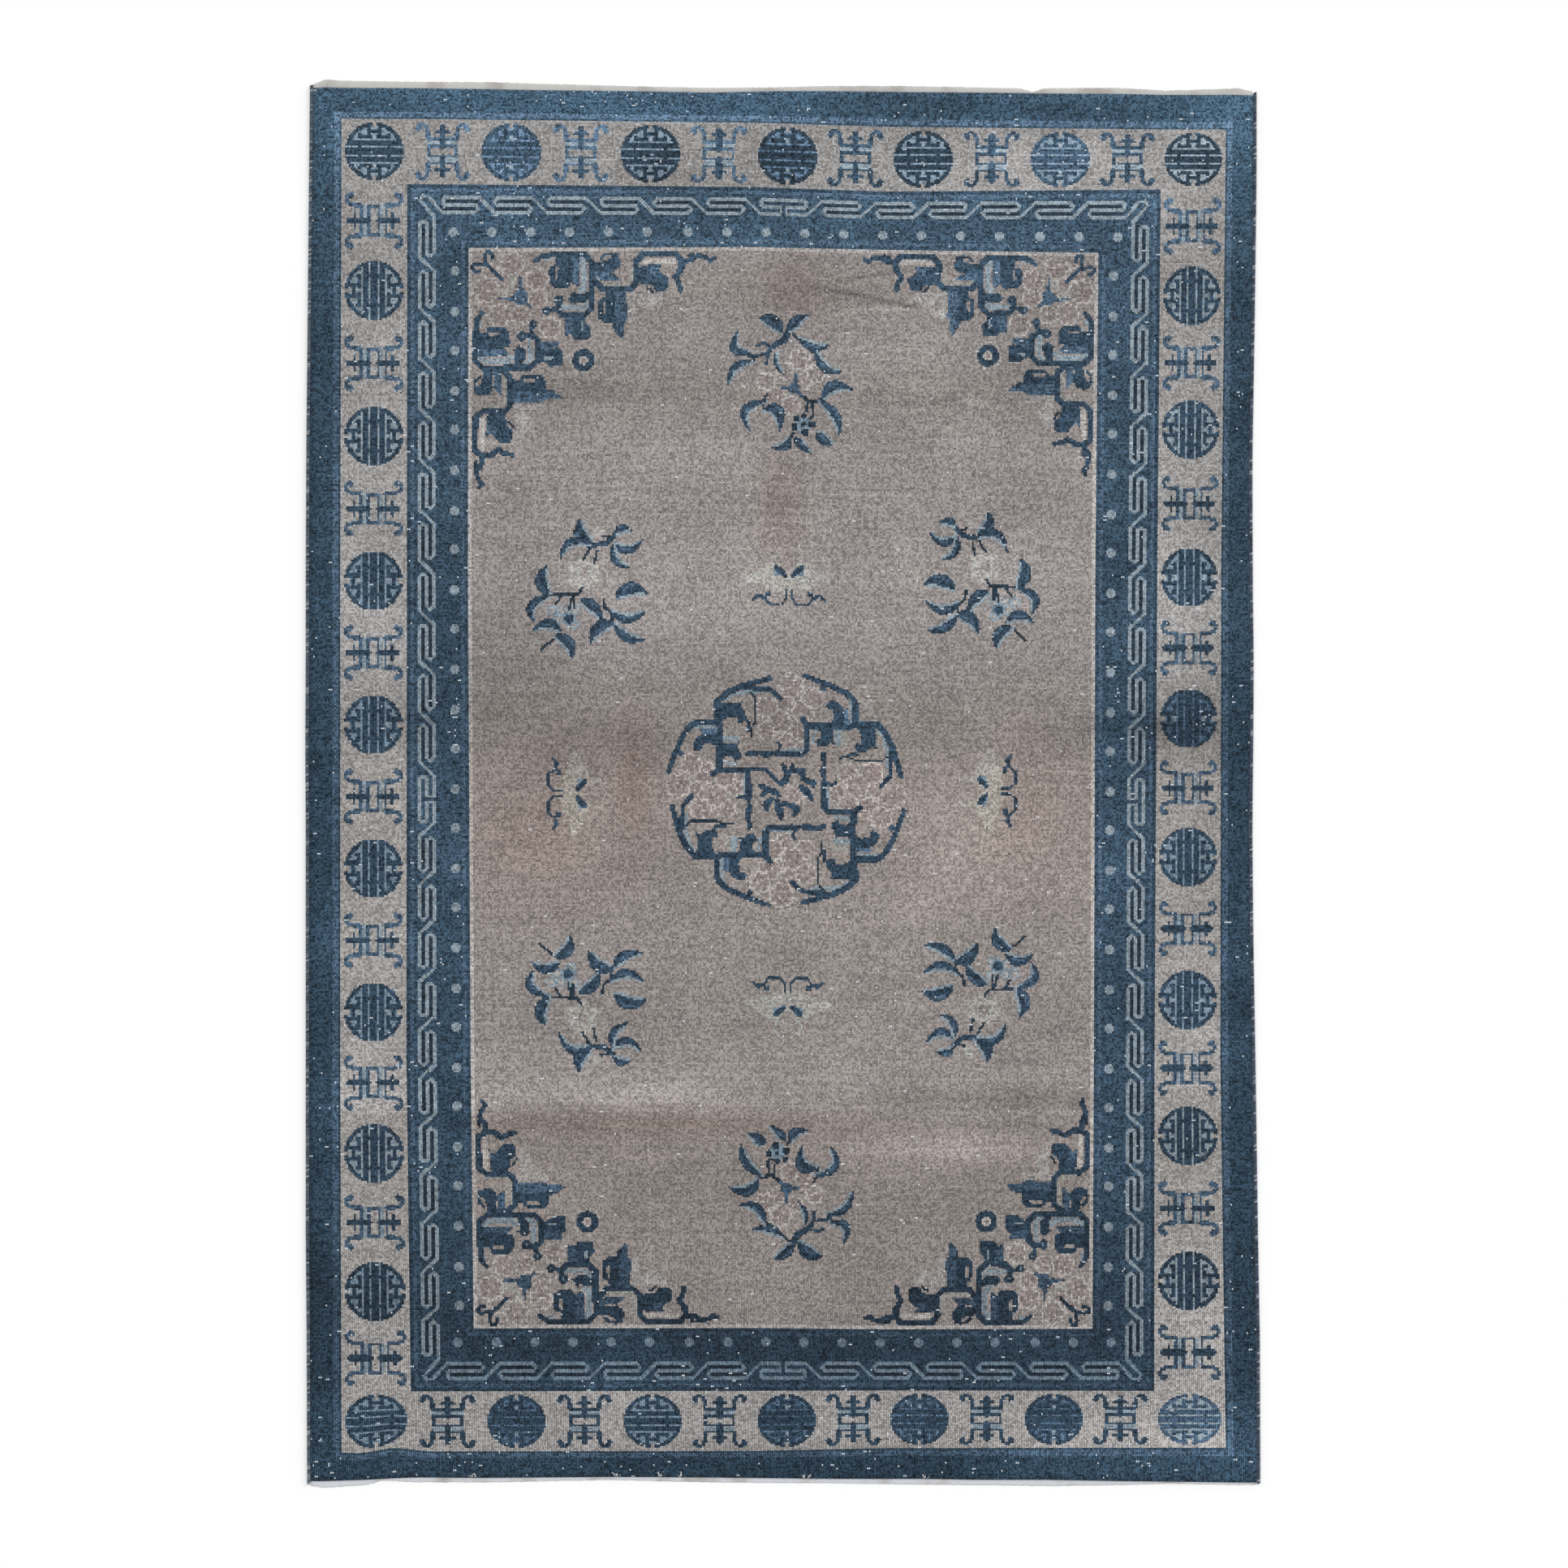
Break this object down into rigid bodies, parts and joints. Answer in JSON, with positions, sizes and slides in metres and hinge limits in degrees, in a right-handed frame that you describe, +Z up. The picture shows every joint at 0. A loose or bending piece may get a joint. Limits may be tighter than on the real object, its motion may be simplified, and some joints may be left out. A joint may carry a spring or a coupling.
{
  "type": "turkish rug",
  "caption": "Hand-knotted wool pile rug lying flat, with blue borders, a taupe field, flat-woven end webs and overcast side cords.",
  "frame": {"origin": "on the floor under the middle of the rug", "axes": "+Y along the rug's length towards its top end, +Z up out of the pile, +X to the right"},
  "size_m": [2.036, 3.002, 0.0114],
  "materials": {
    "wool_pile": "worn low wool pile",
    "overcast_blue": "overcast wool yarn",
    "overcast_grey": "overcast wool yarn"
  },
  "bodies": {
    "root": {"rug_body": "wool_pile", "selvedge_left": "overcast_blue", "selvedge_right": "overcast_grey"}
  },
  "joints": []
}
